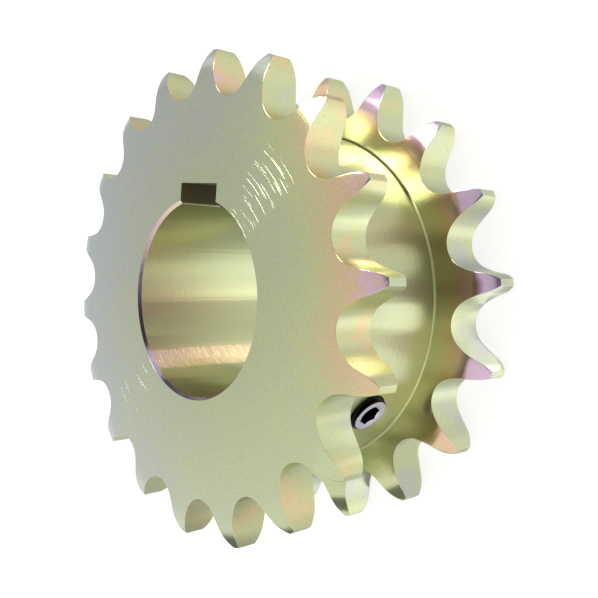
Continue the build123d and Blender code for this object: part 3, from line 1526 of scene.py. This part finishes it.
@dataclass(frozen=True)
class Studio:
    """Pale floor, soft light and the camera, in millimetres and degrees.

    In the metal the surroundings below the horizon stand for the floor. The horizon is the rise at
    which they begin and the one at which they are full. From above, the light goes from one share
    along +Y to another, with a level at each.
    """

    camera_place: tuple[float, float, float] = (124.03, 16.2, 128.97)
    camera_aim: tuple[float, float, float] = (-0.21, -0.81, 20.0)
    camera_roll: float = 4.12
    focal_length: float = 45.325
    shift_x: float = 0.057
    shift_y: float = 0.0037
    sensor: float = 36.0
    floor_size: float = 6000.0
    floor_drop: float = 0.02
    floor_glow: float = 0.7
    floor_colour: str = "#aeaeae"
    horizon: tuple[float, float] = (0.02, -0.10)
    from_above: tuple[float, float, float, float] = (-0.45, 0.25, 1.25, 0.80)
    cards: tuple[Board | Mat | LightWell, ...] = (
        Board("black_flag_by_camera", 69, 34, 400, 310, 290, 0.22),
        Board("pale_card_above", -40, 24, 420, 200, 160, 1.25),
        Board("ceiling_lamp", -14, 48, 320, 196, 130, 12.0, roll=-18),
        # painted shade: a dark card for the shadowed floor below the rows, seen only in the metal
        Board("dark_flag_below", 178, 14, 99, 97, 41, 0.24),
        # painted light: glowing mats on the floor beside the rows, seen only in the metal as highlights
        Mat("pale_mat_beside_rear_row", (42, -1), 90, 10, 6, 1.2),
        Mat("pale_mat_beside_hub", (48, -1), 90, 10, 11, 2.2),
        # painted shadow: a dark mat where the rear row's contact shadow falls, seen only in the metal
        Mat("dark_mat_under_rear_row", (28, -32), -115, 8, 16, 0.34),
        Mat("grey_mat_below", (59.5, -28), 180, 61, 38, 0.80),
        Mat("dark_mat_far_below", (41.5, -71.9), 150, 130, 100, 0.42, height=0.3),
        LightWell(),
    )
    from_below: tuple[tuple[float, float], ...] = (
        (-180, 0.68), (-160, 0.50), (-150, 0.58), (-138, 0.85), (-120, 0.95), (-75, 0.98),
        (-62, 0.60), (-42, 0.56), (-20, 0.62), (0, 0.74), (38, 0.95), (60, 1.0), (78, 0.95),
        (92, 1.0), (104, 1.25), (118, 1.38), (146, 1.45), (151, 0.85), (168, 0.80), (180, 0.68),
    )

    def place_camera(self) -> None:
        """The camera, looking down on the sprocket along a line through its middle."""
        place, aim = Vector(self.camera_place) * MM, Vector(self.camera_aim) * MM
        ahead = (aim - place).normalized()
        right = ahead.cross(Vector((0, 1, 0))).normalized()
        up = right.cross(ahead)
        turn = Matrix((right, up, -ahead)).transposed()
        roll = Matrix.Rotation(-radians(self.camera_roll), 3, ahead)
        camera = begin(bpy.ops.object.camera_add, "Camera", location=place)
        camera.matrix_world = Matrix.Translation(place) @ (roll @ turn).to_4x4()
        camera.data.lens = self.focal_length
        camera.data.sensor_width = self.sensor
        camera.data.shift_x = self.shift_x
        camera.data.shift_y = self.shift_y
        camera.data.clip_start = 0.01
        bpy.context.scene.camera = camera

    def lay_floor(self) -> None:
        """A plain white floor, white to the eye, with a faint shadow."""
        size, drop = self.floor_size * MM, self.floor_drop * MM
        floor = begin(bpy.ops.mesh.primitive_plane_add, "floor", size=size, location=(0, 0, -drop))
        settle(floor)
        floor.visible_glossy = False
        material = blank_material("white_paper")
        tree = material.node_tree
        ray = add(tree, "LightPath").outputs
        seen = ray["Is Camera Ray"]
        for other in ("Is Glossy Ray", "Is Transmission Ray"):
            seen = add(tree, "Math", {"operation": "MAXIMUM"}, {0: seen, 1: ray[other]}).outputs[0]
        lift = add(tree, "Math", {"operation": "MULTIPLY", 1: self.floor_glow}, {0: seen})
        glow = add(tree, "Emission", {"Color": linear(WHITE)}, {"Strength": lift.outputs[0]})
        paper = add(tree, "BsdfDiffuse", {"Color": linear(self.floor_colour)})
        both = add(tree, "AddShader", {}, {0: glow.outputs[0], 1: paper.outputs[0]})
        add(tree, "OutputMaterial", {}, {"Surface": both.outputs[0]})
        floor.data.materials.append(material)

    def light(self) -> None:
        """Soft white surroundings, a little brighter away from the keyway's side.

        Below the horizon, where only the metal looks, the light changes with the heading.
        """
        world = bpy.data.worlds.new("studio")
        world.use_nodes = True
        tree = world.node_tree
        tree.nodes.clear()
        way = add(tree, "TexCoord").outputs["Generated"]
        parts = add(tree, "SeparateXYZ", {}, {0: way}).outputs
        above = dict(zip(("From Min", "From Max", "To Min", "To Max"), self.from_above))
        above = add(tree, "MapRange", above, {"Value": parts["Y"]}).outputs[0]
        below = by_heading(tree, parts["X"], parts["Y"], self.from_below)
        is_below = add(tree, "MapRange", eased(*self.horizon), {"Value": parts["Z"]}).outputs[0]
        seen = add(tree, "LightPath").outputs["Is Camera Ray"]
        level = add(tree, "Mix", {"data_type": "FLOAT"}, {0: is_below, 2: above, 3: below}).outputs[0]
        shown = add(tree, "Mix", {"data_type": "FLOAT", 3: 1.0}, {0: seen, 2: level}).outputs[0]
        sky = add(tree, "Background", {"Color": linear(WHITE)}, {"Strength": shown})
        add(tree, "OutputWorld", {}, {"Surface": sky.outputs[0]})
        bpy.context.scene.world = world

    def build(self) -> None:
        """The whole studio."""
        self.place_camera()
        self.lay_floor()
        self.light()
        for card in self.cards:
            card.build()
        bpy.context.scene.view_settings.view_transform = "Standard"


def main() -> None:
    """Build the pieces in order."""
    body = ToothedBody().build()
    body.name = "sprocket"
    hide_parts(Part.BODY.value)
    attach(body, "root")
    log.info("body: %d triangles", sum(len(f.vertices) - 2 for f in body.data.polygons))
    screw = SetScrew().build()
    screw.name = "socket_set_screw"
    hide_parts(Part.SCREW.value)
    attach(screw, "root")
    log.info("screw: %d triangles", sum(len(f.vertices) - 2 for f in screw.data.polygons))
    Studio().build()


if __name__ == "__main__":
    logging.basicConfig(level=logging.INFO, format="%(name)s: %(message)s")
    main()
